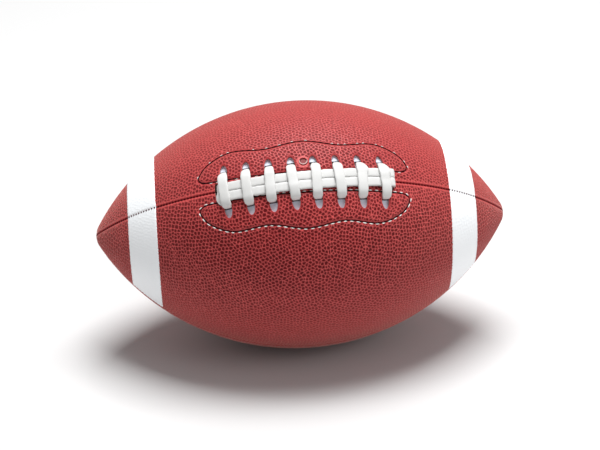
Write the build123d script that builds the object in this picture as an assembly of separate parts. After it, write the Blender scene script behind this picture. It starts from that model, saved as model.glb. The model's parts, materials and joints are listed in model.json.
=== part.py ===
from build123d import *
import os
from math import atan, atan2, cos, degrees, pi, sin, sqrt

# An American football with its valve and its lacing.
# Construction frame, in mm: the origin is the ball's centre, +X runs along the ball,
# and the lacing is on top, at +Z. Places round the ball are angles from the lacing,
# positive towards +Y. At the end every piece is turned about X, so that the ball lies
# with its lacing to the front (-Y) and halfway up.

os.makedirs("parts", exist_ok=True)

# Ball: its outline is one long arc from nose to nose, with a small arc at each nose
BALL_R = 85.5               # radius at the middle
BALL_A = 141.0              # half of the length
NOSE_R = 14.0               # radius of a nose
SIDE_R = ((BALL_A - NOSE_R) ** 2 + BALL_R ** 2 - NOSE_R ** 2) / (2 * (BALL_R - NOSE_R))
SIDE_DROP = SIDE_R - BALL_R # the long arc's centre is this far beyond the axis
LAY_ANGLE = 45.0            # the lacing's height above the front, as an angle

# Panels: the two lace panels are a little wider than the two back panels
LACE_PANEL_ANGLE = 95.0
SEAM_ANGLES = {"lace": 0.0, "top": LACE_PANEL_ANGLE, "bottom": -LACE_PANEL_ANGLE, "back": 180.0}
GROOVE = 0.5                # half of the groove between two covers
CLOSE_GAP = 0.05            # half of the gap between two turned-in edges

# Layers, as depths below the outside
COVER = (0.0, 2.1)
LINING = (2.15, 2.95)
PATCH = (3.0, 3.8)
UNDER_LACE = (3.9, 6.0)
TONGUE = (6.1, 6.9)
BLADDER = (7.0, 8.0)
VALVE_PATCH = (8.05, 9.05)
STRIPE = (-0.15, -0.02)     # paint film, above the cover
STRAND = (-2.2, -0.05)      # lengthwise laces, above the cover
STITCHING = (-0.35, -0.02)  # thread on the cover, along the patches' edges
SEAM_THREAD = (0.7, 1.5)

# Turned-in edges of the panels, with the seam thread between them
FLANGE = (1.6, 6.6)
FLANGE_T = 1.6
FLANGE_END = 126.0          # the turned-in edges stop here, short of the noses
FLANGE_NEAR = 8.0           # they start this far from the ball's axis
THREAD_END = 131.0
THREAD_NEAR = 5.0
THREAD_HALF = 0.4
AXIS_OVERLAP = 0.4          # a half plane reaches this far past the axis
OPENING_END = 68.0          # the lace seam is open from here to the middle

# Lacing
BAR_COUNT = 8
BAR_PITCH = 14.8
BAR_W = 6.3
LACE_T = 2.2
BAR_LEAN = 3.8              # degrees, the upper ends lean towards -X
BAR_FOOT = 12.0             # from the seam to where a bar goes down
BAR_SHOULDER = 6.6          # from the seam to where a bar starts down
BAR_TOP = 3.45              # middle of the bar above the cover
BAR_SINK = 0.6              # a bar's leg is upright from this depth down
BAR_BEND = 1.3              # radius of a bar's bends
LACE_FREE = 0.3             # clearance round a lace in a hole
SLOT_IN = 9.0               # a slot runs from here to SLOT_OUT, away from the seam
SLOT_OUT = 17.4
SLOT_W = 6.7
CUTTER_HALF = 12.0          # half height of the slot and hole cutters
STRAND_IN = 0.1             # a strand lies from here to STRAND_OUT, beside the seam
STRAND_OUT = 6.2
STRAND_END = 58.5           # x where the strands go in through the seam
TAIL = 9.0                  # length of a lace's end below the patch
UNDER_IN = 9.0              # the hidden runs lie from here to UNDER_OUT, beside the seam
UNDER_OUT = 15.2
UNDER_TRIM = 0.2            # a hidden run stops this far inside its bars' sides
TONGUE_X = 66.0             # half sizes of the tongue below the opening
TONGUE_Y = 17.0
TONGUE_CORNER = 8.0

# Reinforcement patches: D shapes, sewn on along a line PATCH_MARGIN inside their edge.
# Right half of that line, as x and the distance from the lace seam along the surface
D_FAR_EDGE = ((0, 31.0), (24.5, 26.8), (47.0, 28.2), (62.5, 21.0), (69.0, 11.8))
D_NEAR_EDGE = ((69.0, 11.8), (67.3, 8.8), (62.0, 7.5))
PATCH_MARGIN = 2.5
STITCH_W = 0.7

# Stripes, from STRIPE_NEAR to STRIPE_FAR along the ball at both ends
STRIPE_NEAR = 98.0
STRIPE_FAR = 117.5

# Valve, on the upper lace panel at the ball's middle
VALVE_SIDE = 14.0           # from the lace seam, along the surface
NECK_R = 2.95               # the neck goes through the cover
NECK_FREE = 0.05
NECK_TOP = 0.15             # this and the other tops and ends are depths below the outside
NECK_ROUND = 0.25
NECK_CUT = 12.0             # the neck's hole through the layers ends at this depth
FOOT_TOP = 9.4              # the foot is the flange bonded inside the bladder
FOOT_T = 1.0
FOOT_R = 6.0
BODY_R = 3.3                # the inner tube, from the foot inwards
BODY_END = 14.2
HEAD_R = 2.25               # the core's head, in the housing's counterbore
HEAD_TOP = 0.5
HEAD_T = 0.8
CORE_R = 1.9
CORE_FREE = 0.05
NEEDLE_R = 1.3
PATCH_R = 11.0              # the round patch that bonds the foot to the bladder
PATCH_CUT = 20.0            # its cutter's depth
LIP_END = 18.4
LIP_FREE = 0.12             # between the core's end and the lips
LIP_DROP = 0.5              # the lips slope away from the core towards the middle
LIP_R = 1.85                # the lips' outside where they meet the core
LIP_HALF_W = 1.5
LIP_SHOULDER = 1.3          # height of a lip's straight side
LIP_EDGE = 0.45             # thickness of a lip at its inner edge
LIP_GAP = 0.03              # half of the slit between the lips
BEYOND = 5.0                # how far a cutter stands out of what it cuts
FAR = 400.0                 # longer than anything here


def radius(x):
    """The ball's radius at x, on the long arc."""
    return sqrt(SIDE_R ** 2 - x ** 2) - SIDE_DROP


def slope(x):
    """How fast the radius grows with x, on the long arc."""
    return -x / sqrt(SIDE_R ** 2 - x ** 2)


def outline(depth):
    """Upper half of the outline at this depth: three arcs from left to right, and the tip's x."""
    side = SIDE_R - depth
    nose = NOSE_R - depth / 2
    centre = sqrt((side - nose) ** 2 - SIDE_DROP ** 2)
    turn = atan(centre / SIDE_DROP)
    tip = centre + nose
    meet = (side * sin(turn), side * cos(turn) - SIDE_DROP)
    on_nose = (centre + nose * cos((pi / 2 - turn) / 2), nose * sin((pi / 2 - turn) / 2))
    right = ThreePointArc(meet, on_nose, (tip, 0))
    left = ThreePointArc((-tip, 0), (-on_nose[0], on_nose[1]), (-meet[0], meet[1]))
    top = ThreePointArc((-meet[0], meet[1]), (0, side - SIDE_DROP), meet)
    return [left, top, right], tip


def skin(layer):
    """A closed shell all round the ball between two depths."""
    outer, outer_tip = outline(layer[0])
    inner, inner_tip = outline(layer[1])
    ends = [Line((-outer_tip, 0), (-inner_tip, 0)), Line((inner_tip, 0), (outer_tip, 0))]
    return revolve(make_face(outer + inner + ends), Axis.X)


def block(x, y, z):
    """A box between the low and high ends of x, y and z."""
    middle = [(a + b) / 2 for a, b in (x, y, z)]
    return Pos(*middle) * Box(x[1] - x[0], y[1] - y[0], z[1] - z[0])


def wedge(angle, low, high, length=FAR, near=-AXIS_OVERLAP):
    """A half plane with thickness, from the axis outwards at this angle."""
    return Rot(X=-angle) * block((-length / 2, length / 2), (low, high), (near, FAR / 2))


def gores(shell, half_gap):
    """The four parts of a shell between the seams, named by their place."""
    for angle in SEAM_ANGLES.values():
        shell -= wedge(angle, -half_gap, half_gap)
    names = {}
    for solid in shell.solids():
        centre = solid.center()
        angle = degrees(atan2(centre.Y, centre.Z))
        side = "lace" if abs(angle) < 90 else "back"
        level = "upper" if angle > 0 else "lower"
        names[side + "_" + level] = solid
    return names


def flange(seam, side):
    """The edge of a panel that is turned in at a seam, on one side of it."""
    low, high = sorted((side * CLOSE_GAP, side * FLANGE_T))
    whole = FLANGE_SKIN & wedge(SEAM_ANGLES[seam], low, high, 2 * FLANGE_END, FLANGE_NEAR)
    if seam == "lace":
        whole -= block((-OPENING_END, OPENING_END), (-FAR, FAR), (0, FAR))
    return whole


def bar_places():
    """The places of the crossbars on the surface, with their tilt and lean."""
    for i in range(BAR_COUNT):
        x = BAR_PITCH * (i - (BAR_COUNT - 1) / 2)
        tilt = degrees(atan(-slope(x)))
        yield x, Location((x, 0, radius(x)), (0, tilt, 0)) * Rot(Z=BAR_LEAN)


def crossbar():
    """One crossbar over the strands, with a leg down at each end."""
    foot_z = -(UNDER_LACE[1] - LACE_FREE)
    half = [(BAR_FOOT, foot_z), (BAR_FOOT, -BAR_SINK), (BAR_SHOULDER, BAR_TOP)]
    points = [(-y, z) for y, z in half] + half[::-1]
    line = FilletPolyline(*points, radius=BAR_BEND)
    return extrude(Plane.YZ * trace(line, LACE_T), BAR_W / 2, both=True)


def lace_slots():
    """Cutters for the wide slots in the cover, two to a crossbar."""
    square = (SLOT_OUT - SLOT_IN) / 2
    slot = Rot(Z=90) * SlotOverall(SLOT_OUT - SLOT_IN, SLOT_W)
    slot += Pos(0, -square / 2) * Rectangle(SLOT_W, square)
    cutter = Pos(0, (SLOT_IN + SLOT_OUT) / 2, 0) * extrude(slot, CUTTER_HALF, both=True)
    return [place * Rot(Z=turn) * cutter for _, place in bar_places() for turn in (0, 180)]


def lace_holes():
    """Cutters for the close holes in the lining and the patches."""
    hole = Box(BAR_W + 2 * LACE_FREE, LACE_T + 2 * LACE_FREE, 2 * CUTTER_HALF)
    return [place * Pos(0, side * BAR_FOOT, 0) * hole for _, place in bar_places() for side in (-1, 1)]


def strand_holes():
    """Cutters for the two holes in the seam where the strands go in."""
    low = STRAND_END - LACE_T - LACE_FREE
    high = STRAND_END + LACE_FREE
    wide = STRAND_OUT + LACE_FREE
    return [block(x, (-wide, wide), (0, FAR)) for x in ((low, high), (-high, -low))]


def cross_lace():
    """The lace that crosses the seam, with its runs below the patches."""
    places = list(bar_places())
    bar = crossbar()
    lace = places[0][1] * bar
    for _, place in places[1:]:
        lace += place * bar
    lean = BAR_FOOT * sin(BAR_LEAN * pi / 180)
    under = skin(UNDER_LACE)
    runs = [(places[i][0], places[i + 1][0], (1, -1)[i % 2]) for i in range(BAR_COUNT - 1)]
    first, last = places[0][0], places[-1][0]
    runs += [(first - TAIL, first, -1), (last, last + TAIL, -1)]
    for start, end, side in runs:
        low = start - BAR_W / 2 + UNDER_TRIM - side * lean
        high = end + BAR_W / 2 - UNDER_TRIM - side * lean
        y = sorted((side * UNDER_IN, side * UNDER_OUT))
        lace += under & block((low, high), y, (0, FAR))
    return lace


def strand(side):
    """One lengthwise lace, tucked in through the seam at both ends."""
    y = sorted((side * STRAND_IN, side * STRAND_OUT))
    lace = skin(STRAND) & block((-STRAND_END, STRAND_END), y, (0, FAR))
    for end in (-1, 1):
        leg = sorted((end * STRAND_END, end * (STRAND_END - LACE_T)))
        tail = sorted((end * STRAND_END, end * (STRAND_END - TAIL)))
        lace += skin((STRAND[0], UNDER_LACE[1])) & block(leg, y, (0, FAR))
        lace += skin(UNDER_LACE) & block(tail, y, (0, FAR))
    return lace


def on_plan(points, margin):
    """Plan places of points on the D shape's edge, moved out from its middle by a margin."""
    tip_x, tip_away = D_FAR_EDGE[-1]
    deepest = max(abs(away - tip_away) for _, away in points)
    for x, away in points:
        grown = away + margin * (away - tip_away) / deepest
        r = radius(x)
        yield x * (1 + margin / tip_x), r * sin(grown / r)


def d_prism(side, margin):
    """Upright prism over one D shape, grown by a margin."""
    right_top = [(x, side * y) for x, y in on_plan(D_FAR_EDGE, margin)]
    right_low = [(x, side * y) for x, y in on_plan(D_NEAR_EDGE, margin)]
    left_top = [(-x, y) for x, y in right_top[:0:-1]]
    left_low = [(-x, y) for x, y in right_low[::-1]]
    edges = [Spline(*left_top, *right_top, tangents=[(0, side), (0, -side)])]
    edges.append(Spline(*right_low, tangents=[(0, -side), (-1, 0)]))
    edges.append(Line(right_low[-1], left_low[0]))
    edges.append(Spline(*left_low, tangents=[(-1, 0), (0, side)]))
    return extrude(make_face(edges), FAR / 2, dir=(0, 0, 1))


def patch(side):
    """One reinforcement patch beside the lace opening."""
    return skin(PATCH) & d_prism(side, PATCH_MARGIN)


def stitching(side):
    """The thread that shows along the edge of one patch, on the cover."""
    whole = skin(STITCHING) & d_prism(side, STITCH_W / 2)
    return whole - d_prism(side, -STITCH_W / 2)


def ring(outer_r, inner_r, top, bottom):
    """A tube on the valve's axis between two depths."""
    tall = bottom - top
    tube = Cylinder(outer_r, tall)
    if inner_r:
        tube -= Cylinder(inner_r, tall)
    return Pos(0, 0, BALL_R - (top + bottom) / 2) * tube


def valve_place():
    """Turns a piece built round Z onto the valve's axis."""
    return Rot(X=-degrees(VALVE_SIDE / BALL_R))


def valve_housing():
    """Moulded valve body: a neck through the cover, a foot and an inner tube."""
    bore = CORE_R + CORE_FREE
    counterbore = HEAD_R + CORE_FREE
    body = ring(NECK_R, bore, NECK_TOP, FOOT_TOP + FOOT_T)
    body += ring(FOOT_R, bore, FOOT_TOP, FOOT_TOP + FOOT_T)
    body += ring(BODY_R, bore, FOOT_TOP, BODY_END)
    body -= ring(counterbore, 0, NECK_TOP - BEYOND, HEAD_TOP + HEAD_T + CORE_FREE)
    rim = body.edges().filter_by(GeomType.CIRCLE).group_by(Axis.Z)[-1].sort_by(SortBy.RADIUS)[-1]
    return fillet(rim, NECK_ROUND)


def valve_core():
    """Self-sealing plug that the needle goes through."""
    core = ring(HEAD_R, 0, HEAD_TOP, HEAD_TOP + HEAD_T) + ring(CORE_R, 0, HEAD_TOP, BODY_END)
    return core - ring(NEEDLE_R, 0, HEAD_TOP - BEYOND, BODY_END + BEYOND)


def valve_lip(side):
    """One of the two lips that close the core's inner end."""
    top = BALL_R - BODY_END - LIP_FREE
    end = BALL_R - LIP_END
    corners = [(LIP_GAP, top - LIP_DROP), (LIP_R, top), (LIP_R, top - LIP_SHOULDER)]
    corners += [(LIP_EDGE, end), (LIP_GAP, end)]
    face = make_face(Polyline(*[(side * y, z) for y, z in corners], close=True))
    lip = extrude(Plane.YZ * face, LIP_HALF_W, both=True)
    return lip & ring(LIP_R, 0, BODY_END, LIP_END)


def neck_cutter():
    """Cutter for the valve's neck through a layer."""
    return valve_place() * ring(NECK_R + NECK_FREE, 0, -BEYOND, NECK_CUT)


def stripe(end):
    """One painted stripe, a film on each lace panel."""
    x = sorted((end * STRIPE_NEAR, end * STRIPE_FAR))
    band = skin(STRIPE) & block(x, (-FAR, FAR), (-FAR, FAR))
    return [part for name, part in gores(band, GROOVE).items() if name.startswith("lace")]


def seam_thread(seam):
    """The thread that shows in the groove of one seam."""
    angle = SEAM_ANGLES[seam]
    band = wedge(angle, -THREAD_HALF, THREAD_HALF, 2 * THREAD_END, THREAD_NEAR)
    thread = skin(SEAM_THREAD) & band
    if seam == "lace":
        thread -= block((-OPENING_END, OPENING_END), (-FAR, FAR), (0, FAR))
    return thread.solids()


def keep(name, shape):
    """Write one node, turned so that the lacing is at the front and halfway up."""
    solids = shape if isinstance(shape, list) else shape.solids()
    turned = [Rot(X=LAY_ANGLE) * solid for solid in solids]
    export_step(turned[0] if len(turned) == 1 else Compound(children=turned), f"parts/{name}.step")


FLANGE_SKIN = skin(FLANGE)
SEAMS_OF = {"lace_upper": (("lace", 1), ("top", -1)), "lace_lower": (("lace", -1), ("bottom", 1)),
            "back_upper": (("top", 1), ("back", -1)), "back_lower": (("bottom", -1), ("back", 1))}

covers = gores(skin(COVER), GROOVE)
linings = gores(skin(LINING), FLANGE_T + LACE_FREE)
slots = lace_slots()
holes = lace_holes()
ends = strand_holes()

for name, cover in covers.items():
    for seam, side in SEAMS_OF[name]:
        cover += flange(seam, side)
    lining = linings[name]
    if name.startswith("lace"):
        cover -= slots
        cover -= ends
        lining -= holes
        lining -= ends
    if name == "lace_upper":
        cover -= neck_cutter()
        lining -= neck_cutter()
    keep(f"{name}_panel", cover)
    keep(f"{name}_lining", lining)

for level, side in (("upper", 1), ("lower", -1)):
    reinforcement = patch(side)
    reinforcement -= holes
    reinforcement -= ends
    if level == "upper":
        reinforcement -= neck_cutter()
    keep(f"lace_patch_{level}", reinforcement)
    keep(f"patch_stitching_{level}", stitching(side))
    keep(f"lace_strand_{level}", strand(side))

keep("cross_lace", cross_lace())
guard = skin(TONGUE) & extrude(RectangleRounded(2 * TONGUE_X, 2 * TONGUE_Y, TONGUE_CORNER), FAR / 2)
keep("lace_tongue", guard - neck_cutter())
keep("stripe_left", stripe(-1))
keep("stripe_right", stripe(1))
for seam in SEAM_ANGLES:
    keep(f"seam_thread_{seam}", seam_thread(seam))
keep("bladder", skin(BLADDER) - neck_cutter())
bonded = skin(VALVE_PATCH) & (valve_place() * ring(PATCH_R, 0, 0, PATCH_CUT))
keep("valve_patch", bonded - neck_cutter())
keep("valve_housing", valve_place() * valve_housing())
keep("valve_core", valve_place() * valve_core())
keep("valve_lip_upper", valve_place() * valve_lip(1))
keep("valve_lip_lower", valve_place() * valve_lip(-1))
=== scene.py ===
"""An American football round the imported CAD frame: pebbled cover, painted stripes, lacing and threads.

Sizes are in millimetres and angles in radians until a mesh is made. A place on the ball is given by
s, the distance from its middle along a line from nose to nose, and by the angle round its long axis from
the lace seam, positive towards the upper panel.
"""
import json
import math

import bmesh
import bpy
import numpy as np
from mathutils import Matrix, Vector, kdtree


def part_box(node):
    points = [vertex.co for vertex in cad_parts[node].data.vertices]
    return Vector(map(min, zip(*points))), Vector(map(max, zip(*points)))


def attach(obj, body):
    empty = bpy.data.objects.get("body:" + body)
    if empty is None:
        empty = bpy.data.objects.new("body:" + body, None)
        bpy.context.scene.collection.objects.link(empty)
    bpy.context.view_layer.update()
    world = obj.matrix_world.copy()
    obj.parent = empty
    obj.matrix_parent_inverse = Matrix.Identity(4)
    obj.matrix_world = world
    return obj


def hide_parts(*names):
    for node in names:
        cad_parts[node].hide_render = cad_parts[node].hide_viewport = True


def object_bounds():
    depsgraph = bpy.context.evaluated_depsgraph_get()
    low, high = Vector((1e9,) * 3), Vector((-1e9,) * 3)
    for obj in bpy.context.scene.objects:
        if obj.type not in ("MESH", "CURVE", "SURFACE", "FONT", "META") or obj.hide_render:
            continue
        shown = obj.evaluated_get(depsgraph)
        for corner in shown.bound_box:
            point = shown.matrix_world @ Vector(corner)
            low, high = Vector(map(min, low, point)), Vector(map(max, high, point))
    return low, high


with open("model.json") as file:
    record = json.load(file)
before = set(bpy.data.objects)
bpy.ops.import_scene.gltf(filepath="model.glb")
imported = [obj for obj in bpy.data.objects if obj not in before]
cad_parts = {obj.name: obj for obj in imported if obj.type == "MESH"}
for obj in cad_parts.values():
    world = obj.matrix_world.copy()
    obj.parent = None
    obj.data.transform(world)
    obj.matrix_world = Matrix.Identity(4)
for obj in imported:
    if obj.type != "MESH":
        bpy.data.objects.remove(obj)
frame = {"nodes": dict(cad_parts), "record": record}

MM = 0.001
CAD_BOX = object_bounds()
RNG = np.random.default_rng(11)

# Ball, from the frame: one long arc from nose to nose with a small arc at each nose
BALL_R = (CAD_BOX[1][2] - CAD_BOX[0][2]) / 2 / MM
BALL_A = (CAD_BOX[1][0] - CAD_BOX[0][0]) / 2 / MM
NOSE_R = 14.0
SIDE_R = ((BALL_A - NOSE_R) ** 2 + BALL_R ** 2 - NOSE_R ** 2) / (2 * (BALL_R - NOSE_R))
SIDE_DROP = SIDE_R - BALL_R
NOSE_X = BALL_A - NOSE_R
TURN = math.atan(NOSE_X / SIDE_DROP)
SIDE_LEN = SIDE_R * TURN
HALF_LEN = SIDE_LEN + NOSE_R * (math.pi / 2 - TURN)
LACE_LOW, LACE_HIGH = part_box("cross_lace")
LACE_MID = (LACE_LOW + LACE_HIGH) / 2
LAY = math.atan2(-LACE_MID.y, LACE_MID.z)       # the lacing's turn from straight up to the front

# Panels
LACE_PANEL = math.radians(95)
PANELS = {
    "lace_upper_panel": (0.0, LACE_PANEL),
    "lace_lower_panel": (-LACE_PANEL, 0.0),
    "back_upper_panel": (LACE_PANEL, math.pi),
    "back_lower_panel": (-math.pi, -LACE_PANEL),
}
COVER_T = 2.1
EDGE_ROLL = 1.6              # radius of the rolled edge at a seam
EDGE_STEPS = np.array([0.06, 0.18, 0.4, 0.7, 1.05, 1.5, 2.0, 2.6])   # mesh columns beside a seam
NARROW_HALF = 9.0            # panels narrower than this to a side have their edge columns closed up
INNER_STEPS = 25
LACE_PANEL_STEP = 0.5        # mesh spacing
BACK_PANEL_STEP = 0.6
PUCKER_PITCH = 2.35          # stitches along a seam
PUCKER = 0.40                # how far each one pulls the leather in
PUCKER_REACH = 1.7
CREASE_REACH = 1.0           # how far a seam's shade reaches onto the leather

# The leather's pits; each _CLEAR is the distances at which pits start and are at full depth
PIT_PITCH = 2.45
PIT_ROW = 0.87               # spacing of rows of pits, as a share of the pitch
PIT_DEPTH = 0.31
PIT_STRAY = 0.75             # how far a pit may lie off its even place
PIT_WALL = (0.05, 0.72)      # from a ridge's top to a pit's floor, in lead over the next nearest pit
SEAM_CLEAR = (0.9, 2.6)
LINE_CLEAR = (0.7, 1.6)
SLOT_CLEAR = (0.1, 0.8)
VALVE_CLEAR = (3.2, 5.0)
PAINT_FILL = 0.62            # share of a pit that the stripes' paint fills
PAINT_FADE = (0.3, 0.1)      # its fade outside and inside a stripe's edge

# The cover's shape round the lacing
PATCH_LIFT = 0.45            # rise over a reinforcement patch
PATCH_SLOPE = (0.2, 3.2)     # distances inside the stitch line where the rise starts and ends
GROOVE_DEPTH = 0.55          # groove of the stitch line
GROOVE_HALF_W = 0.8
GROOVE_SHADE_HALF_W = 0.85
BEAD_HEIGHT = 0.18           # bead of leather beside the groove
BEAD_AWAY = 2.0
RIM_DROP = 0.55              # pulled-in rim of a slot
RIM_REACH = 0.45
RIM_END = 3.0
RIM_SHADE = 0.8
RIM_SHADE_REACH = 0.7
VALVE_DIP = 0.20
NOT_NEAR = 99.0              # stands for the distance of places far from a stitch line or slot

# Lacing; the ends of a crossbar are given as distance from the seam and height
BAR_COUNT = 8
BAR_PITCH = 14.8
BAR_LEAN = math.radians(3.8)
BAR_W = 6.6
BAR_T = 2.1
BAR_LOWER_END = [(11.3, -5.6), (11.2, -3.6), (11.1, -2.0), (10.9, -0.5), (10.1, 1.1), (7.8, 2.5)]
BAR_UPPER_END = [(12.2, -5.6), (12.1, -3.4), (11.8, -1.7), (11.0, 0.1), (9.5, 1.65), (7.0, 2.8)]
BAR_CREST = [(-4.0, 3.25), (0.0, 3.35), (4.0, 3.25)]
BAR_STRAY = 0.10             # unevenness of a crossbar's run
BAR_BOW = 0.25               # sideways bow
BAR_OFF = 0.12               # sideways offset
BAR_FLARE = 0.2              # spread of the last two crossbars' upper shoulders
FIRST_FLARED = 6
SUNK_DEPTH = 0.9             # depth below the outline at which a crossbar's foot is fully shaded
UPPER_SHADE = 0.2            # share of that shade in the upper slots
STRAND_W = 6.15
STRAND_T = 2.15
STRAND_LEFT = -57.6
STRAND_RIGHT = 60.2
STRAND_SHIFT = 0.3           # the strands' middle, off the seam at x = 0
STRAND_SLOPE = 0.035         # and its slope against the seam
STRAND_GAP = 0.02
STRAND_FOLD = [(1.7, -5.0), (1.35, -2.6), (1.3, -0.9), (1.75, 0.55), (2.5, 1.1)]   # in from an end, height
STRAND_STEP = 1.6
STRAND_HEIGHT = 1.18
STRAND_SPRING = 0.22         # extra height between crossbars
STRAND_HOLE = 57.4
STRAND_HOLE_HALF = (1.5, 6.4)
SLOT_MID = 12.3
SLOT_HALF_L = 6.3
SLOT_HALF_W = 2.7
CUT_LOW = -6.0               # reach of the cutters for slots and holes, below and above the outline
CUT_HIGH = 4.0
TAIL = [(5.4, -0.6, 0.9), (3.2, -2.2, 1.5), (2.1, -4.6, 1.4),
        (2.1, -7.0, 1.1), (3.0, -9.0, 0.9), (4.6, -10.4, 0.9)]

# Reinforcement stitch line: right half, as x and the distance from the lace seam along the surface
D_FAR = np.array([[0, 31.0], [24.5, 26.8], [47.0, 28.2], [62.5, 21.0], [69.0, 11.8]])
D_NEAR = np.array([[69.0, 11.8], [67.3, 8.8], [62.0, 7.5]])
D_STRAIGHT = 7.2             # distance of its straight side from the seam
D_BOX = (78, 42)             # half size of the area that holds it, as x and the distance from the seam
STITCH_PITCH = 4.4
STITCH_OUT = 0.62            # white stitches lie this far outside the groove's middle
STITCH_SINK = 0.36
SEAM_RUN = (0.35, 0.62, -1.10, 0.34)      # of a seam's stitches: half length, half reach, height, radius
PAINTED_RUN = (0.22, 0.42, -0.08, 0.50)   # and of those that show through the paint
SEAM_END_GAP = 14.0          # a seam's stitches stop this far from a nose's tip
LACED_HALF = 64.0            # no stitches show in the lace seam within this x

# Stripes
STRIPE_NEAR = 98.0
STRIPE_FAR = 117.5
FILM_T = 0.14
FILM_SINK = 0.05             # the film's underside, below the cover's surface
FILM_SAG = 0.35              # how far the film follows the lace seam's groove down
FILM_WAVES = ((0.08, 1.3, 0), (0.07, 2.9, 1), (0.06, 4.7, 2))   # its edges' unevenness: size, rate, start

# Valve: profile of the plug as depth and radius, from the dimple round to its inner end
VALVE_SIDE = 14.0
VALVE_HOLE_R = 3.0
PLUG = [(0.55, 0.0), (0.62, 0.5), (0.54, 0.9), (0.50, 1.6), (0.53, 2.1), (0.66, 2.25), (1.2, 2.25),
        (1.3, 2.15), (1.32, 1.9), (6.0, 1.88), (14.0, 1.86), (14.2, 1.7), (14.2, 0.0)]

# View
VIEW_YAW = math.radians(-3.1)
VIEW_UP = math.radians(25.4)
VIEW_ROLL = math.radians(-3.5)
VIEW_DISTANCE = 1.27
VIEW_LENS = 110.2
VIEW_SHIFT = -0.0013
SENSOR_W = 36.0

# Studio: name, place in metres, size and power of each lamp
LAMPS = (("key", (0.25, 0.30, 2.4), 1.3, 94.0), ("side", (1.5, -1.0, 0.9), 1.0, 6.5))
SKY = 0.32
FLOOR_HALF = 3000


# ---------------------------------------------------------------- places on the ball

def meridian(s):
    """x, radius and the normal's angle from upright, at a distance s along the outline."""
    a = np.abs(s)
    on_side = a < SIDE_LEN
    angle = np.where(on_side, a / SIDE_R, TURN + (a - SIDE_LEN) / NOSE_R)
    x = np.where(on_side, SIDE_R * np.sin(angle), NOSE_X + NOSE_R * np.sin(angle))
    r = np.where(on_side, SIDE_R * np.cos(angle) - SIDE_DROP, NOSE_R * np.cos(angle))
    return np.sign(s) * x, np.maximum(r, 0), np.sign(s) * angle


def on_ball(s, angle, height):
    """Points this high above the ball's outline, in the ball's own frame."""
    x, r, lean = meridian(s)
    out = r + height * np.cos(lean)
    turn = angle - LAY
    return np.stack([x + height * np.sin(lean), out * np.sin(turn), out * np.cos(turn)], -1)


def along(x):
    """Distance s of a place at x, on the long arc."""
    return SIDE_R * np.arcsin(np.asarray(x) / SIDE_R)


def beside_seam(x, away, height):
    """Points at x and a distance from the lace seam along the surface."""
    s = along(x)
    _, r, _ = meridian(s)
    return on_ball(s, away / r, height)


def smooth(low, high, value):
    """0 below low, 1 above high, and a smooth rise between them."""
    t = np.clip((value - low) / (high - low), 0, 1)
    return t * t * (3 - 2 * t)


def bar_frame(x):
    """Origin, lengthwise, crosswise and outward directions of a crossbar at x on the lace seam."""
    s = float(along(x))
    _, _, lean = meridian(s)
    origin = on_ball(s, 0.0, 0.0)
    up = on_ball(s, 0.0, 1.0) - origin
    side = np.array([0.0, math.cos(-LAY), -math.sin(-LAY)])
    length = np.cross(side, up)
    c, d = math.cos(BAR_LEAN), math.sin(BAR_LEAN)
    return origin, c * length + d * side, c * side - d * length, up


def valve_frame():
    """Centre of the valve on the ball's outline, and its lengthwise, crosswise and outward directions."""
    centre = beside_seam(0.0, VALVE_SIDE, 0.0)
    up = beside_seam(0.0, VALVE_SIDE, 1.0) - centre
    up = up / np.linalg.norm(up)
    along_x = np.array([1.0, 0.0, 0.0])
    return centre, along_x, np.cross(up, along_x), up


BAR_XS = [BAR_PITCH * (i - (BAR_COUNT - 1) / 2) for i in range(BAR_COUNT)]


def spline(points, count):
    """Smooth open curve through a few points, evenly stepped in its parameter."""
    p = np.asarray(points, float)
    p = np.vstack([2 * p[0] - p[1], p, 2 * p[-1] - p[-2]])
    t = np.linspace(0, len(points) - 1 - 1e-9, count)
    i = t.astype(int)
    f = (t - i)[:, None]
    a, b, c, d = p[i], p[i + 1], p[i + 2], p[i + 3]
    return 0.5 * (2 * b + (c - a) * f + (2 * a - 5 * b + 4 * c - d) * f ** 2
                  + (3 * b - a - 3 * c + d) * f ** 3)


def even(points, step):
    """The same open curve with points an even step apart."""
    gaps = np.linalg.norm(np.diff(points, axis=0), axis=1)
    travel = np.concatenate([[0], np.cumsum(gaps)])
    t = np.linspace(0, travel[-1], max(2, int(round(travel[-1] / step)) + 1))
    return np.stack([np.interp(t, travel, points[:, k]) for k in range(points.shape[1])], -1)


def d_loop():
    """Closed stitch line of a patch, as x and distance from the seam, starting at the left tip."""
    mirror = (-1, 1)
    straight = [[x, D_STRAIGHT] for x in (30, 0, -30)]
    loop = np.vstack([D_FAR[:0:-1] * mirror, D_FAR, D_NEAR[1:], straight, D_NEAR[:0:-1] * mirror])
    tied = np.vstack([loop[-2:], loop, loop[:3]])
    steps = 40
    fine = spline(tied, steps * (len(tied) - 1) + 1)
    return even(fine[2 * steps:-2 * steps], 0.25)


D_LOOP = d_loop()


# ---------------------------------------------------------------- mesh helpers

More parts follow.
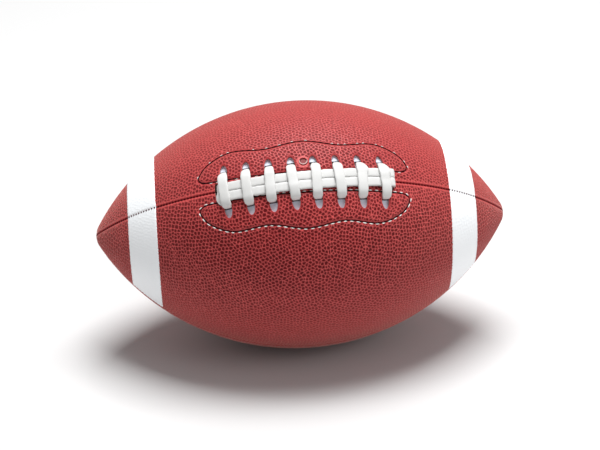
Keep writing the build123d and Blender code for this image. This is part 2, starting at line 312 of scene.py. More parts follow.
def make_mesh(name, points, quads, tris=()):
    """A smooth-shaded object from points in mm and index arrays of quads and triangles."""
    quads = np.asarray(quads, np.int32).reshape(-1, 4)
    tris = np.asarray(tris, np.int32).reshape(-1, 3)
    corners = np.concatenate([quads.ravel(), tris.ravel()]).astype(np.int32)
    sizes = np.concatenate([np.full(len(quads), 4), np.full(len(tris), 3)])
    starts = np.concatenate([[0], np.cumsum(sizes)[:-1]]).astype(np.int32)
    mesh = bpy.data.meshes.new(name)
    mesh.vertices.add(len(points))
    mesh.vertices.foreach_set("co", (np.asarray(points) * MM).astype(np.float32).ravel())
    mesh.loops.add(len(corners))
    mesh.loops.foreach_set("vertex_index", corners)
    mesh.polygons.add(len(sizes))
    mesh.polygons.foreach_set("loop_start", starts)
    mesh.update(calc_edges=True)
    mesh.validate()
    mesh.shade_smooth()
    obj = bpy.data.objects.new(name, mesh)
    bpy.context.scene.collection.objects.link(obj)
    return obj


def ring_quads(rows, columns, first=0):
    """Quads between rings that are closed along their columns."""
    grid = first + np.arange(rows * columns).reshape(rows, columns)
    right = np.roll(grid, -1, axis=1)
    return np.stack([grid[:-1], right[:-1], right[1:], grid[1:]], -1).reshape(-1, 4)


def join_parts(parts):
    """Stack (points, quads, tris) parts into one set of arrays."""
    points, quads, tris, first = [], [], [], 0
    for p, q, t in parts:
        points.append(p)
        quads.append(np.asarray(q, np.int32).reshape(-1, 4) + first)
        tris.append(np.asarray(t, np.int32).reshape(-1, 3) + first)
        first += len(p)
    return np.vstack(points), np.vstack(quads), np.vstack(tris)


def cord(path, wide, up, half_w, half_t, steps, power):
    """A flat cord with rounded edges and ends along a path; returns points, quads and triangles.
    half_w and half_t are the half width and half thickness at each point of the path."""
    n = len(path)
    a = np.linspace(0, 2 * np.pi, steps, endpoint=False)
    ca = np.sign(np.cos(a)) * np.abs(np.cos(a)) ** power
    sa = np.sign(np.sin(a)) * np.abs(np.sin(a)) ** power
    half_w = np.broadcast_to(half_w, n).copy()
    half_t = np.broadcast_to(half_t, n).copy()
    for k, share in enumerate((0.45, 0.75, 0.92)):
        for i in (k, n - 1 - k):
            half_w[i] *= 0.5 + 0.5 * share
            half_t[i] *= share
    rings = (path[:, None] + ca[None, :, None] * (half_w[:, None] * wide)[:, None]
             + sa[None, :, None] * (half_t[:, None] * up)[:, None])
    points = np.vstack([rings.reshape(-1, 3), path[:1], path[-1:]])
    quads = ring_quads(n, steps)
    tris = []
    for j in range(steps):
        k = (j + 1) % steps
        tris.append((n * steps, k, j))
        tris.append((n * steps + 1, (n - 1) * steps + j, (n - 1) * steps + k))
    return points, quads, tris


def unit(v):
    """Vectors scaled to a length of 1."""
    return v / np.maximum(np.linalg.norm(v, axis=-1, keepdims=True), 1e-12)


def stitch(start, end, up, radius, belly):
    """One short run of thread from start to end that rises by belly in its middle."""
    t = np.linspace(0, 1, 9)[:, None]
    path = start + (end - start) * t + up * belly * (1 - (2 * t - 1) ** 2)
    ahead = unit(np.gradient(path, axis=0))
    wide = unit(np.cross(ahead, up))
    over = np.cross(wide, ahead)
    thin = radius * (0.55 + 0.45 * np.sin(np.pi * np.clip(t[:, 0], 0.08, 0.92)))
    return cord(path, wide, over, thin, thin, steps=8, power=1.0)


# ---------------------------------------------------------------- cover

def pit_sites(low, high):
    """Places of the leather's pits on one panel, as points."""
    rows = int(2 * HALF_LEN / (PIT_PITCH * PIT_ROW))
    sites = []
    for i in range(rows + 1):
        s = -HALF_LEN + 2 * HALF_LEN * i / rows
        r = float(meridian(np.array(s))[1])
        count = int(r * (high - low) / PIT_PITCH)
        if count < 1:
            continue
        lateral = (np.arange(count) + 0.5 * (i % 2)) * PIT_PITCH
        lateral = lateral + RNG.uniform(-PIT_STRAY, PIT_STRAY, count)
        there = s + RNG.uniform(-PIT_STRAY, PIT_STRAY, count)
        there = there + 3.0 * np.sin(lateral * 0.055 + 0.6) + 1.2 * np.sin(lateral * 0.16 + s * 0.02)
        there = np.clip(there, -HALF_LEN, HALF_LEN)
        sites.append(on_ball(there, low + lateral / max(r, 0.1), 0.0))
    return np.vstack(sites)


def pit_depth(points, sites):
    """How much each point lies in a pit: 0 on the ridges between pits, 1 at a pit's floor."""
    tree = kdtree.KDTree(len(sites))
    for i, site in enumerate(sites):
        tree.insert(site, i)
    tree.balance()
    gap = np.empty(len(points))
    for i, p in enumerate(points.tolist()):
        (_, _, near), (_, _, far) = tree.find_n(p, 2)
        gap[i] = far - near
    return smooth(*PIT_WALL, gap)


def slot_distance(points):
    """Distance outside the nearest lace slot's rim, negative inside it, and the valve's distance."""
    best = np.full(len(points), NOT_NEAR)
    for x in BAR_XS:
        origin, length, side, up = bar_frame(x)
        rel = points - origin
        u, v = rel @ length, np.abs(rel @ side)
        share = np.hypot(u / SLOT_HALF_W, (v - SLOT_MID) / SLOT_HALF_L)
        best = np.minimum(best, (share - 1) * np.minimum(SLOT_HALF_W, SLOT_HALF_L))
    valve = beside_seam(0.0, VALVE_SIDE, 0.0)
    return best, np.linalg.norm(points - valve, axis=1)


def d_line_distance(points, x, away):
    """Distance to the stitch line of this panel's patch, and how far inside the patch a point is."""
    line = beside_seam(D_LOOP[:, 0], D_LOOP[:, 1] * np.sign(away.mean()), 0.0)
    tree = kdtree.KDTree(len(line))
    for i, p in enumerate(line):
        tree.insert(p, i)
    tree.balance()
    far = np.full(len(points), NOT_NEAR)
    close = (np.abs(x) < D_BOX[0]) & (np.abs(away) < D_BOX[1])
    for i in np.flatnonzero(close):
        far[i] = tree.find(points[i])[2]
    top = D_LOOP[D_LOOP[:, 1] > D_FAR[-1, 1]]
    order = np.argsort(top[:, 0])
    edge = np.interp(x, top[order, 0], top[order, 1], left=0, right=0)
    inside = close & (np.abs(away) < edge) & (np.abs(away) > D_NEAR[-1, 1]) & (np.abs(x) < D_FAR[-1, 0])
    return far, inside


def cover_relief(name, s, angle, seam_gap):
    """Height of the cover's outside, its pit share and its share of painted crease shade, this far from the
    nearest seam.
    """
    points = on_ball(s, angle, 0.0).reshape(-1, 3)
    x, r, _ = (values.ravel() for values in meridian(s))
    keep = smooth(*SEAM_CLEAR, seam_gap.ravel())
    height = np.zeros(len(points))
    crease_shade = np.zeros(len(points))
    if name.startswith("lace"):
        line, inside = d_line_distance(points, x, angle.ravel() * r)
        slot, valve = slot_distance(points)
        outside_slot = np.maximum(slot, 0)
        keep = keep * smooth(*LINE_CLEAR, line) * smooth(*SLOT_CLEAR, slot) * smooth(*VALVE_CLEAR, valve)
        before, after = PAINT_FADE
        painted = smooth(STRIPE_NEAR - before, STRIPE_NEAR + after, np.abs(x))
        painted = painted * (1 - smooth(STRIPE_FAR - after, STRIPE_FAR + before, np.abs(x)))
        keep = keep * (1 - PAINT_FILL * painted)
        height += PATCH_LIFT * smooth(*PATCH_SLOPE, line) * inside
        height -= GROOVE_DEPTH * np.exp(-(line / GROOVE_HALF_W) ** 2)
        height += BEAD_HEIGHT * np.exp(-(line - BEAD_AWAY) ** 2)
        height -= RIM_DROP * np.exp(-outside_slot / RIM_REACH) * (slot < RIM_END)
        height -= VALVE_DIP * (1 - smooth(*VALVE_CLEAR, valve))
        # painted shade: the stitch line's groove and the rims round the slots are darkened in colour
        crease_shade = np.maximum(np.exp(-(line / GROOVE_SHADE_HALF_W) ** 2),
                            RIM_SHADE * np.exp(-(outside_slot / RIM_SHADE_REACH) ** 2))
    pit = pit_depth(points, SITES[name]) * keep
    height -= PIT_DEPTH * pit
    return [values.reshape(s.shape) for values in (height, pit, crease_shade)]


def stitch_wave(s):
    """1 at each of a seam's stitches and -1 midway between them."""
    return np.cos(2 * np.pi * s / PUCKER_PITCH)


def seam_roll(gap, half, s):
    """How far the rolled edge drops at a distance from the seam, with a pucker at each stitch."""
    roll = np.minimum(EDGE_ROLL, 0.35 * half)
    inside = np.clip(roll - gap, 0, None)
    drop = roll - np.sqrt(np.maximum(roll ** 2 - inside ** 2, 0))
    pull = PUCKER * (0.5 + 0.5 * stitch_wave(s)) * np.exp(-(gap / PUCKER_REACH) ** 2)
    return drop + pull * np.minimum(1, half / 12)


def columns(half, count):
    """Lateral places across a panel from edge to edge, closer together at the seams."""
    edge = EDGE_STEPS[None, :] * np.minimum(1, half / NARROW_HALF)[:, None]
    inner = half - edge[:, -1]
    middle = np.linspace(-1, 1, count)[None, 1:-1] * inner[:, None]
    return np.hstack([edge - half[:, None], middle, (half[:, None] - edge)[:, ::-1]])


def store(obj, name, values):
    """Keep one number per vertex for the material to read."""
    layer = obj.data.attributes.new(name, "FLOAT", "POINT")
    layer.data.foreach_set("value", np.asarray(values, np.float32))


def panel(name, step):
    """One cover panel as a closed shell with a pebbled outside and rolled edges."""
    low, high = PANELS[name]
    rows = int(2 * HALF_LEN / step)
    s_row = np.linspace(-HALF_LEN, HALF_LEN, rows + 1)[1:-1]
    _, r, _ = meridian(s_row)
    half = r * (high - low) / 2
    lateral = columns(half, int(BALL_R * (high - low) / step))
    out_n = lateral.shape[1]
    s = np.repeat(s_row[:, None], out_n, 1)
    angle = (low + high) / 2 + lateral / r[:, None]
    gap = half[:, None] - np.abs(lateral)
    height, pit, crease_shade = cover_relief(name, s, angle, gap)
    height = height - seam_roll(gap, np.repeat(half[:, None], out_n, 1), s)
    outside = on_ball(s, angle, height)
    share = np.linspace(1, -1, INNER_STEPS)[None, :]
    edge = EDGE_STEPS[0] * np.minimum(1, half / NARROW_HALF)
    inner_angle = (low + high) / 2 + share * ((half - edge) / r)[:, None]
    inside = on_ball(np.repeat(s_row[:, None], INNER_STEPS, 1), inner_angle, -COVER_T)
    rings = np.concatenate([outside, inside], 1)
    n, m = rings.shape[:2]
    tips = np.vstack([on_ball(np.array([e * HALF_LEN]), np.array([0.0]), np.array([h]))
                      for e in (-1, 1) for h in (0.0, -COVER_T)])
    points = np.vstack([rings.reshape(-1, 3), tips])
    tris, end_quads = [], []
    for row, tip, flip in ((0, n * m, True), (n - 1, n * m + 2, False)):
        for j in range(m):
            a, b = row * m + j, row * m + (j + 1) % m
            ends = [tip if k < out_n else tip + 1 for k in (j, (j + 1) % m)]
            face = [b, a, ends[0], ends[1]] if flip else [a, b, ends[1], ends[0]]
            if ends[0] == ends[1]:
                tris.append(face[:3])
            else:
                end_quads.append(face)
    quads = np.vstack([ring_quads(n, m)[:, ::-1], np.array(end_quads)])
    obj = make_mesh(name + "_cover", points, quads, tris)
    # painted shade along the seams, darker at each stitch; the hidden inside face gets the full dark colour
    seam_shade = (0.78 + 0.22 * stitch_wave(s)) * np.exp(-(gap / CREASE_REACH) ** 4)
    for label, seen, hidden in (("pit", pit, 0.0), ("crease_shade", seam_shade + 0.9 * crease_shade, 1.0)):
        marks = np.zeros(len(points))
        marks[:n * m] = np.concatenate([seen, np.full((n, INNER_STEPS), hidden)], 1).ravel()
        store(obj, label, marks)
    return obj


def fix_normals(obj):
    """Turn all of a closed mesh's faces outwards."""
    bm = bmesh.new()
    bm.from_mesh(obj.data)
    bmesh.ops.recalc_face_normals(bm, faces=bm.faces)
    bm.to_mesh(obj.data)
    bm.free()


def prism(points, up, low, high):
    """A closed prism over a flat outline, from low to high along up."""
    n = len(points)
    both = np.vstack([points + up * low, points + up * high])
    quads = [(i, (i + 1) % n, n + (i + 1) % n, n + i) for i in range(n)]
    centre = both.reshape(2, n, 3).mean(1)
    tris = [(2 * n, (i + 1) % n, i) for i in range(n)]
    tris += [(2 * n + 1, n + i, n + (i + 1) % n) for i in range(n)]
    return np.vstack([both, centre]), quads, tris


def slot_cutters():
    """Prisms that cut the lace slots, the strand holes and the valve hole."""
    a = np.linspace(0, 2 * np.pi, 40, endpoint=False)
    parts = []
    for x in BAR_XS:
        origin, length, side, up = bar_frame(x)
        for e in (-1, 1):
            ring = (origin + np.outer(SLOT_HALF_W * np.cos(a), length)
                    + np.outer(e * SLOT_MID + SLOT_HALF_L * np.sin(a), side))
            parts.append(prism(ring, up, CUT_LOW, CUT_HIGH))
    for e in (-1, 1):
        origin, length, side, up = bar_frame(e * STRAND_HOLE)
        half_x, half_y = STRAND_HOLE_HALF
        ring = origin + np.outer(half_x * np.cos(a), length) + np.outer(half_y * np.sin(a), side)
        parts.append(prism(ring, up, CUT_LOW, CUT_HIGH))
    centre, along_x, across, up = valve_frame()
    ring = centre + VALVE_HOLE_R * (np.outer(np.cos(a), along_x) + np.outer(np.sin(a), across))
    parts.append(prism(ring, up, CUT_LOW, CUT_HIGH))
    return parts


def cut(obj, parts):
    """Take the parts away from an object."""
    cutter = make_mesh("cutter", *join_parts(parts))
    fix_normals(cutter)
    modifier = obj.modifiers.new("holes", "BOOLEAN")
    modifier.operation = "DIFFERENCE"
    modifier.solver = "MANIFOLD"
    modifier.object = cutter
    bpy.context.view_layer.objects.active = obj
    bpy.ops.object.modifier_apply(modifier=modifier.name)
    bpy.data.objects.remove(cutter)


def stripe(name, end, step):
    """The painted film of one stripe, over both lace panels and the seam between them."""
    rows = int((STRIPE_FAR - STRIPE_NEAR) / step)
    s_row = end * np.linspace(*along(np.array([STRIPE_NEAR, STRIPE_FAR])), rows)
    halves = []
    for panel_name in ("lace_lower_panel", "lace_upper_panel"):
        low, high = PANELS[panel_name]
        half = meridian(s_row)[1] * (high - low) / 2
        lateral = columns(half, int(float(half.max()) * 2 / step))
        lateral = lateral[:, 2:] if low < 0 else lateral[:, :-2]
        waver = sum(size * np.sin(lateral[:1] * rate + start) for size, rate, start in FILM_WAVES)
        s = s_row[:, None] + waver
        angle = (low + high) / 2 + lateral / half[:, None] * (high - low) / 2
        gap = half[:, None] - np.abs(lateral)
        height, _, _ = cover_relief(panel_name, s, angle, gap)
        drop = seam_roll(gap, np.repeat(half[:, None], lateral.shape[1], 1), s)
        at_lacing = (lateral > 0) if low < 0 else (lateral < 0)
        height = height - np.where(at_lacing, np.minimum(drop, FILM_SAG * np.tanh(drop / FILM_SAG)), drop)
        halves.append((s, angle, height))
    s, angle, height = (np.concatenate(arrays, 1) for arrays in zip(*halves))
    edge = np.minimum(np.arange(rows), np.arange(rows)[::-1])[:, None]
    top = on_ball(s, angle, height + FILM_T * smooth(-0.6, 2.0, edge))
    bottom = on_ball(s, angle, height - FILM_SINK)
    rings = np.concatenate([top, bottom[:, ::-1]], 1)
    n, m = rings.shape[:2]
    quads = [ring_quads(n, m)]
    j = np.arange(m // 2 - 1)
    for row, flip in ((0, True), (n - 1, False)):
        cap = np.stack([row * m + j, row * m + j + 1, row * m + m - 2 - j, row * m + m - 1 - j], -1)
        quads.append(cap[:, ::-1] if flip else cap)
    return make_mesh(name, rings.reshape(-1, 3), np.vstack(quads))


# ---------------------------------------------------------------- lacing

def crossbar(x, seed, flare):
    """One crossbar of the lace, from inside one slot over the strands into the other.
    flare is how much it is spread at its upper bend."""
    rng = np.random.default_rng(seed)
    origin, length, side, up = bar_frame(x)
    profile = np.array([(-v, h) for v, h in BAR_LOWER_END] + BAR_CREST + BAR_UPPER_END[::-1])
    profile = profile + rng.normal(0, BAR_STRAY, profile.shape)
    run = even(spline(profile, 240), 0.35)
    v, high = run[:, 0], run[:, 1]
    path = origin + np.outer(v, side) + np.outer(high, up)
    bow = rng.normal(0, BAR_BOW)
    path = path + np.outer(bow * np.sin(v / 7.0) + rng.normal(0, BAR_OFF), length)
    ahead = unit(np.gradient(path, axis=0))
    wide = np.repeat(length[None], len(path), 0)
    over = unit(np.cross(wide, ahead))
    full = np.where(v > 0, smooth(-1.6, 2.2, high), smooth(-0.9, 0.8, high))
    full = full * (1 - 0.10 * smooth(5.0, 10.0, np.abs(v)))
    narrow = np.where(v > 0, 0.62, 0.80)
    shoulder = flare * np.exp(-((v - 6.5) / 2.6) ** 2)
    half_w = BAR_W / 2 * (narrow + (1 - narrow) * full) * (1 + 0.03 * np.sin(v * 0.9 + seed))
    half_w = half_w * (1 + shoulder)
    path = path + np.outer(shoulder * BAR_W / 2, length)
    half_t = BAR_T / 2 * (1.12 - 0.12 * full)
    return cord(path, wide, over, half_w, half_t, steps=28, power=0.55)


def mark_depth(obj):
    """Store how far each point of a lace lies below the ball's outline, for the shade inside the slots.
    The lower slots turn from the light, so they are the dark ones."""
    points = np.empty(len(obj.data.vertices) * 3)
    obj.data.vertices.foreach_get("co", points)
    x, y, z = points.reshape(-1, 3).T / MM
    depth = SIDE_R - np.hypot(x, np.hypot(y, z) + SIDE_DROP)
    lower = z * math.sin(LAY) + y * math.cos(LAY) < 0
    store(obj, "sunk", smooth(0.0, SUNK_DEPTH, depth) * np.where(lower, 1.0, UPPER_SHADE))


def over_ball(keys, step, count):
    """A smooth line through keys of x, distance from the seam and height; its places and its points."""
    places = even(spline(keys, count), step)
    return places, beside_seam(*places.T)


def strand(side_sign, seed):
    """One lengthwise lace with its tucked ends."""
    rng = np.random.default_rng(seed)
    mid = side_sign * (STRAND_W / 2 + STRAND_GAP) + STRAND_SHIFT
    xs = np.arange(STRAND_LEFT + 2 * STRAND_STEP, STRAND_RIGHT - 2 * STRAND_STEP, STRAND_STEP)
    bars = np.min(np.abs(xs[:, None] - (np.array(BAR_XS) - mid * math.tan(BAR_LEAN))[None]), 1)
    height = STRAND_HEIGHT + STRAND_SPRING * smooth(2.4, 5.5, bars) + rng.normal(0, 0.02, len(xs))
    sway = rng.normal(0, 0.06, len(xs))
    keys = [(STRAND_LEFT + e, mid + STRAND_SLOPE * STRAND_LEFT, h) for e, h in STRAND_FOLD]
    keys += [(x, mid + STRAND_SLOPE * x + w, h) for x, w, h in zip(xs, sway, height)]
    keys += [(STRAND_RIGHT - e, mid + STRAND_SLOPE * STRAND_RIGHT, h) for e, h in STRAND_FOLD[::-1]]
    places, path = over_ball(keys, 0.4, 900)
    ahead = unit(np.gradient(path, axis=0))
    to_side = (0, 0.5, 0)
    wide = unit(beside_seam(*(places + to_side).T) - beside_seam(*(places - to_side).T))
    over = unit(np.cross(wide, ahead))
    half_w = STRAND_W / 2 * (1 + 0.02 * np.sin(places[:, 0] * 0.7 + seed))
    return cord(path, wide, over, half_w, STRAND_T / 2, steps=28, power=0.55)


def lace_tail():
    """The cut end of the lace, lying out to the left below the first crossbar."""
    places, path = over_ball([(STRAND_LEFT + e, away, h) for e, away, h in TAIL], 0.35, 300)
    ahead = unit(np.gradient(path, axis=0))
    up = unit(beside_seam(*(places + (0, 0, 1)).T) - path)
    wide = unit(np.cross(ahead, up))
    t = np.linspace(0, 1, len(path))
    half_w = 2.0 * (1 - 0.75 * smooth(0.45, 1.0, t))
    return cord(path, wide, up, half_w, 1.0 - 0.4 * t, steps=24, power=0.7)


def core_plug():
    """The valve's plug with its needle hole closed to a dimple."""
    a = np.linspace(0, 2 * np.pi, 48, endpoint=False)
    centre, along_x, across, up = valve_frame()
    rings = [centre - up * d + r * (np.outer(np.cos(a), along_x) + np.outer(np.sin(a), across))
             for d, r in PLUG[1:-1]]
    n, m = len(rings), len(a)
    points = np.vstack(rings + [centre - up * PLUG[0][0], centre - up * PLUG[-1][0]])
    j = np.arange(m)
    k = (j + 1) % m
    tris = np.vstack([np.stack([np.full(m, n * m), j, k], -1),
                      np.stack([np.full(m, n * m + 1), (n - 1) * m + k, (n - 1) * m + j], -1)])
    return points, ring_quads(n, m), tris


# ---------------------------------------------------------------- threads

def seam_thread(name, angle, skip):
    """Short thread runs across the groove of a seam, from skip on to both noses."""
    parts = []
    for s in np.arange(-HALF_LEN + SEAM_END_GAP, HALF_LEN - SEAM_END_GAP, PUCKER_PITCH):
        x, r, _ = meridian(np.array(s))
        if abs(float(x)) < skip:
            continue
        on_paint = angle == 0.0 and STRIPE_NEAR < abs(float(x)) < STRIPE_FAR
        ahead, aside, lift, thick = PAINTED_RUN if on_paint else SEAM_RUN
        ends = [on_ball(np.array(s + e * ahead), np.array(angle + e * aside / r), np.array(lift))
                for e in (-1, 1)]
        foot, tip = (on_ball(np.array(s), np.array(angle), np.array(h)) for h in (0.0, 1.0))
        parts.append(stitch(*ends, unit(tip - foot), thick, 0.15))
    return make_mesh(name, *join_parts(parts))


def patch_threads(level, sign):
    """Dark thread in the stitch line's groove, near black so that it also carries the groove's painted
    shade, and the white stitches beside it.
    The upper patch's white stitches are shorter, thinner and fewer."""
    step = 0.2
    line = D_LOOP * (1, sign)
    points = even(beside_seam(line[:, 0], line[:, 1], 0.0), step)
    total = len(points)
    tangent = unit(np.roll(points, -1, 0) - np.roll(points, 1, 0))
    normal = unit(points * (0.25, 1, 1))
    outward = unit(np.cross(tangent, normal))
    if ((points - points.mean(0)) * outward).sum() < 0:
        outward = -outward
    count = int(round(total * step / STITCH_PITCH))
    length_share, thick_share, kept = (0.75, 0.68, 0.45) if sign > 0 else (1.0, 1.0, 1.0)
    dark, white = [], []
    for k in range(count):
        start = k * total / count
        reach = RNG.uniform(0.48, 0.68) * length_share
        thick = RNG.uniform(0.29, 0.40) * thick_share
        spots = [int(start + share * total / count) % total for share in (0, reach, 1.05)]
        near, far, next_near = (points[i] - normal[i] * STITCH_SINK for i in spots)
        up = normal[spots[0]]
        if sign < 0 or RNG.uniform() < kept:
            out_near, out_far = (outward[i] * STITCH_OUT for i in spots[:2])
            white.append(stitch(near + out_near, far + out_far, up, thick, 0.22))
        dark.append(stitch(near, next_near, up, 0.48, 0.05))
    return (make_mesh("patch_stitches_" + level, *join_parts(white)),
            make_mesh("patch_underthread_" + level, *join_parts(dark)))


# ---------------------------------------------------------------- materials

class Nodes:
    """Short calls for building a node material."""

    def __init__(self, name):
        self.material = bpy.data.materials.new(name)
        self.material.use_nodes = True
        self.tree = self.material.node_tree
        self.shader = self.tree.nodes["Principled BSDF"]

    def add(self, kind, **values):
        node = self.tree.nodes.new(kind)
        for key, value in values.items():
            if key in node.inputs:
                node.inputs[key].default_value = value
            else:
                setattr(node, key, value)
        return node

    def link(self, a, b):
        self.tree.links.new(a, b)

    def noise(self, scale, detail=3.0, rough=0.5):
        place = self.add("ShaderNodeTexCoord")
        node = self.add("ShaderNodeTexNoise", Scale=scale, Detail=detail, Roughness=rough)
        self.link(place.outputs["Object"], node.inputs["Vector"])
        return node.outputs["Fac"]

    def ramp(self, value, stops):
        node = self.add("ShaderNodeValToRGB")
        ramp = node.color_ramp
        while len(ramp.elements) < len(stops):
            ramp.elements.new(0.5)
        for element, (where, colour) in zip(ramp.elements, stops):
            element.position = where
            element.color = (*colour, 1)
        self.link(value, node.inputs["Fac"])
        return node.outputs["Color"]

    def mix(self, share, a, b, blend="MIX"):
        node = self.add("ShaderNodeMix", data_type="RGBA", blend_type=blend)
        picks = {"Factor_Float": share, "A_Color": a, "B_Color": b}
        for socket in node.inputs:
            if socket.identifier in picks:
                value = picks[socket.identifier]
                if hasattr(value, "links"):
                    self.link(value, socket)
                else:
                    socket.default_value = (*value, 1) if isinstance(value, tuple) else value
        for socket in node.outputs:
            if socket.identifier == "Result_Color":
                return socket

    def math(self, operation, a, b):
        node = self.add("ShaderNodeMath", operation=operation)
        for socket, value in zip(node.inputs, (a, b)):
            if hasattr(value, "links"):
                self.link(value, socket)
            else:
                socket.default_value = value
        return node.outputs[0]

    def bump(self, value, distance, strength=1.0):
        node = self.add("ShaderNodeBump", Distance=distance, Strength=strength)
        self.link(value, node.inputs["Height"])
        self.link(node.outputs["Normal"], self.shader.inputs["Normal"])

    def set(self, name, value):
        socket = self.shader.inputs[name]
        if hasattr(value, "links"):
            self.link(value, socket)
        else:
            socket.default_value = (*value, 1) if socket.type == "RGBA" else value


def leather():
    m = Nodes("leather")
    pit = m.add("ShaderNodeAttribute", attribute_name="pit").outputs["Fac"]
    crease_shade = m.add("ShaderNodeAttribute", attribute_name="crease_shade").outputs["Fac"]
    broad = m.noise(18.0, 3)
    patchy = m.noise(140.0, 3)
    fine = m.noise(1100.0, 4)
    # ridges: the leather's tone made lighter as a painted glint; pit floors: a darker tone that is partly
    # painted shade
    ridge_with_glint = m.mix(broad, (0.60, 0.066, 0.070), (0.72, 0.098, 0.090))
    floor = m.mix(patchy, (0.072, 0.0006, 0.0028), (0.165, 0.0034, 0.0072))
    # painted light: towards grazing angles the pits' painted shade and the ridges' painted glint fade to
    # one even tone
    facing = m.add("ShaderNodeLayerWeight", Blend=0.5).outputs["Facing"]
    grazing_fade = m.math("MINIMUM", m.math("MULTIPLY", m.math("SUBTRACT", facing, 0.10), 1.5), 0.75)
    colour = m.mix(grazing_fade, m.mix(pit, ridge_with_glint, floor), m.mix(0.50, ridge_with_glint, floor))
    speck = m.ramp(fine, [(0.3, (0.80, 0.80, 0.80)), (0.7, (1.15, 1.15, 1.15))])
    colour = m.mix(1.0, colour, speck, "MULTIPLY")
    # painted shade: the leather's colour darkens in the seams, the stitch line's groove and round the slots
    m.set("Base Color", m.mix(crease_shade, colour, (0.170, 0.0040, 0.0090)))
    dull = m.math("SUBTRACT", 1.0, crease_shade)
    grain = m.math("ADD", m.math("MULTIPLY", fine, 0.16), 0.38)
    shine = m.math("ADD", m.math("MULTIPLY", m.math("SUBTRACT", 1.0, pit), 0.22), 0.10)
    m.set("Roughness", m.math("ADD", m.math("MULTIPLY", pit, 0.12), grain))
    m.set("Specular IOR Level", m.math("MULTIPLY", shine, dull))
    m.set("Sheen Weight", m.math("MULTIPLY", 0.42, dull))
    m.set("Sheen Roughness", 0.45)
    m.set("Sheen Tint", (1.0, 0.78, 0.68))
    m.bump(fine, 0.00005, 0.7)
    return m.material


def paint():
    m = Nodes("stripe_paint")
    broad = m.noise(40.0, 3)
    fine = m.noise(700.0, 3)
    m.set("Base Color", m.mix(broad, (0.92, 0.945, 0.97), (0.96, 0.975, 0.99)))
    m.set("Roughness", m.math("ADD", m.math("MULTIPLY", fine, 0.15), 0.38))
    m.bump(fine, 0.00003, 0.6)
    return m.material


def lace_vinyl():
    m = Nodes("lace_vinyl")
    broad = m.noise(60.0, 3)
    fine = m.noise(1400.0, 3)
    sunk = m.add("ShaderNodeAttribute", attribute_name="sunk").outputs["Fac"]
    unshaded = m.mix(broad, (0.58, 0.58, 0.565), (0.68, 0.68, 0.675))
    # painted shade: the lace turns nearly black where it dips into the slots, most in the lower ones
    m.set("Base Color", m.mix(sunk, unshaded, (0.045, 0.035, 0.040)))
    m.set("Roughness", m.math("ADD", m.math("MULTIPLY", fine, 0.15), 0.45))
    m.set("Subsurface Weight", 0.08)
    m.set("Subsurface Radius", (0.003, 0.003, 0.003))
    m.bump(m.math("ADD", fine, broad), 0.00008, 0.7)
    return m.material


def thread(name, dark, light, shine):
    m = Nodes(name)
    fine = m.noise(2500.0, 2)
    m.set("Base Color", m.mix(fine, dark, light))
    m.set("Roughness", m.math("ADD", m.math("MULTIPLY", fine, 0.2), 0.6))
    m.set("Specular IOR Level", shine)
    m.bump(fine, 0.00006, 0.8)
    return m.material


def weave(name, dark, light, pitch):
    """Plain woven cloth with threads this far apart, in mm."""
    m = Nodes(name)
    place = m.add("ShaderNodeTexCoord").outputs["Object"]
    parts = m.add("ShaderNodeSeparateXYZ")
    m.link(place, parts.inputs[0])
    turns = 2 * math.pi / (pitch * MM)
    around = m.math("ADD", parts.outputs["Y"], parts.outputs["Z"])
    a = m.math("SINE", m.math("MULTIPLY", parts.outputs["X"], turns), 0.0)
    b = m.math("SINE", m.math("MULTIPLY", around, turns * 0.7), 0.0)
    cloth = m.math("MULTIPLY_ADD", m.math("MULTIPLY", a, b), 0.5)
    cloth.node.inputs[2].default_value = 0.5
    grime = m.noise(120.0, 3)
    m.set("Base Color", m.mix(m.math("MULTIPLY", cloth, grime), dark, light))
    m.set("Roughness", 0.9)
    m.bump(cloth, 0.00012, 0.8)
    return m.material


def rubber(name, dark, light, rough):
    m = Nodes(name)
    broad = m.noise(150.0, 4)
    fine = m.noise(1500.0, 3)
    m.set("Base Color", m.mix(broad, dark, light))
    m.set("Roughness", m.math("ADD", m.math("MULTIPLY", fine, 0.2), rough))
    m.bump(fine, 0.00003, 0.6)
    return m.material


def backdrop():
    m = Nodes("backdrop")
    m.set("Base Color", (0.62, 0.62, 0.62))
    m.set("Roughness", 0.95)
    return m.material


MATERIALS = {
    "cover": leather(),
    "stripe_paint": paint(),
    "lace": lace_vinyl(),
    "stitch_thread": thread("stitch_thread", (0.70, 0.68, 0.64), (0.93, 0.92, 0.89), 0.3),
    # near black: this thread also carries the painted shade of the stitch line's groove
    "under_thread": thread("under_thread", (0.008, 0.001, 0.002), (0.035, 0.006, 0.008), 0.05),
    "seam_thread": thread("seam_thread", (0.030, 0.001, 0.003), (0.090, 0.004, 0.007), 0.05),
    # the lining's pale blue is painted shade: white cloth given the cool tint it has in the slots' shadow
    "lining": weave("lining_cloth", (0.70, 0.82, 0.97), (0.86, 0.93, 1.0), 0.6),
    "patch": weave("patch_cloth", (0.42, 0.43, 0.45), (0.66, 0.67, 0.70), 0.9),
    "tongue": weave("tongue_hide", (0.30, 0.20, 0.12), (0.50, 0.37, 0.25), 1.4),
    "bladder": rubber("bladder_rubber", (0.010, 0.009, 0.009), (0.030, 0.028, 0.028), 0.40),
    "valve_body": rubber("valve_rubber", (0.40, 0.25, 0.23), (0.56, 0.39, 0.37), 0.45),
    "valve_core": rubber("valve_core_rubber", (0.16, 0.016, 0.018), (0.26, 0.032, 0.034), 0.55),
}


def dress(obj, body, slot, *nodes, material=None):
    """Give a piece its material, from its slot unless one is named, put it in its body and hide the CAD
    nodes it stands for.
    """
    obj.data.materials.clear()
    obj.data.materials.append(MATERIALS[material or slot])
    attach(obj, body)
    if nodes:
        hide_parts(*nodes)


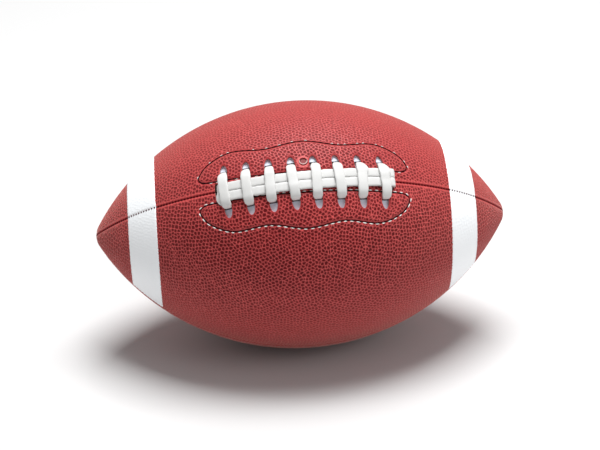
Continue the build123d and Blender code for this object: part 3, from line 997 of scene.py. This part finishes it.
def solid(name, parts):
    """A closed object with all its faces outwards."""
    obj = make_mesh(name, *parts)
    fix_normals(obj)
    return obj


# ---------------------------------------------------------------- the ball

SITES = {name: pit_sites(*ends) for name, ends in PANELS.items()}
CUTTERS = slot_cutters()
COARSE = 1.0

for name in PANELS:
    laced = name.startswith("lace")
    cover = panel(name, (LACE_PANEL_STEP if laced else BACK_PANEL_STEP) * COARSE)
    fix_normals(cover)
    if laced:
        cut(cover, CUTTERS)
    dress(cover, "ball", "cover", name)

for name, end in (("stripe_left", -1), ("stripe_right", 1)):
    film = stripe(name + "_film", end, LACE_PANEL_STEP * COARSE)
    fix_normals(film)
    dress(film, "ball", "stripe_paint", name)

flares = [BAR_FLARE if i >= FIRST_FLARED else 0.0 for i in range(BAR_COUNT)]
bars = solid("lace_crossbars", join_parts([crossbar(x, 20 + i, flares[i]) for i, x in enumerate(BAR_XS)]))
mark_depth(bars)
dress(bars, "ball", "lace", "cross_lace")
for level, sign in (("upper", 1), ("lower", -1)):
    run = solid("lace_strand_" + level + "_run", strand(sign, 5 + sign))
    dress(run, "ball", "lace", "lace_strand_" + level)
    white, dark = patch_threads(level, sign)
    dress(white, "ball", "stitch_thread", "patch_stitching_" + level)
    dress(dark, "ball", "seam_thread", material="under_thread")
dress(solid("lace_cut_end", lace_tail()), "ball", "lace")
dress(solid("valve_plug", core_plug()), "valve_core", "valve_core", "valve_core")

for seam, angle, skip in (("lace", 0.0, LACED_HALF), ("top", LACE_PANEL, 0.0),
                          ("bottom", -LACE_PANEL, 0.0), ("back", math.pi, 0.0)):
    run = seam_thread("seam_stitches_" + seam, angle, skip)
    dress(run, "ball", "seam_thread", "seam_thread_" + seam)

slots = {row["node"]: row["material_slot"] for row in frame["record"]["subparts"]}
for name, obj in frame["nodes"].items():
    if obj.hide_render:
        continue
    material = MATERIALS[slots[name]]
    if not obj.material_slots:
        obj.data.materials.append(material)
    for holder in obj.material_slots:
        holder.material = material


# ---------------------------------------------------------------- studio

def studio():
    """A pale floor under the ball, a soft lamp overhead and a weak one at the right."""
    level = CAD_BOX[0][2] / MM
    corners = [(x * FLOOR_HALF, y * FLOOR_HALF, level) for x, y in ((-1, -1), (1, -1), (1, 1), (-1, 1))]
    floor = make_mesh("studio_floor", corners, [(0, 1, 2, 3)])
    floor.data.materials.append(backdrop())
    world = bpy.data.worlds.new("studio")
    bpy.context.scene.world = world
    world.use_nodes = True
    sky = world.node_tree.nodes["Background"]
    sky.inputs["Color"].default_value = (1, 1, 1, 1)
    sky.inputs["Strength"].default_value = SKY
    for name, place, size, power in LAMPS:
        lamp = bpy.data.lights.new(name, "AREA")
        lamp.shape = "SQUARE"
        lamp.size = size
        lamp.energy = power
        holder = bpy.data.objects.new(name, lamp)
        holder.location = place
        holder.rotation_euler = (-Vector(place)).to_track_quat("-Z", "Y").to_euler()
        bpy.context.scene.collection.objects.link(holder)


def camera():
    """A long-lens view of the lacing from the front, a little to its left and rolled a little."""
    back = Vector((0, -math.cos(VIEW_UP), math.sin(VIEW_UP)))
    right = Vector((1, 0, 0))
    up = back.cross(right)
    back, right = (math.cos(VIEW_YAW) * back + math.sin(VIEW_YAW) * right,
                   math.cos(VIEW_YAW) * right - math.sin(VIEW_YAW) * back)
    right = math.cos(VIEW_ROLL) * right + math.sin(VIEW_ROLL) * up
    above = back.cross(right)
    data = bpy.data.cameras.new("camera")
    data.lens = VIEW_LENS
    data.sensor_width = SENSOR_W
    data.shift_x = VIEW_SHIFT
    data.shift_y = VIEW_SHIFT
    holder = bpy.data.objects.new("camera", data)
    place = back * VIEW_DISTANCE
    rows = [(right[i], above[i], back[i], place[i]) for i in range(3)]
    holder.matrix_world = Matrix(rows + [(0, 0, 0, 1)])
    bpy.context.scene.collection.objects.link(holder)
    bpy.context.scene.camera = holder


studio()
camera()
bpy.context.scene.view_settings.view_transform = "Standard"
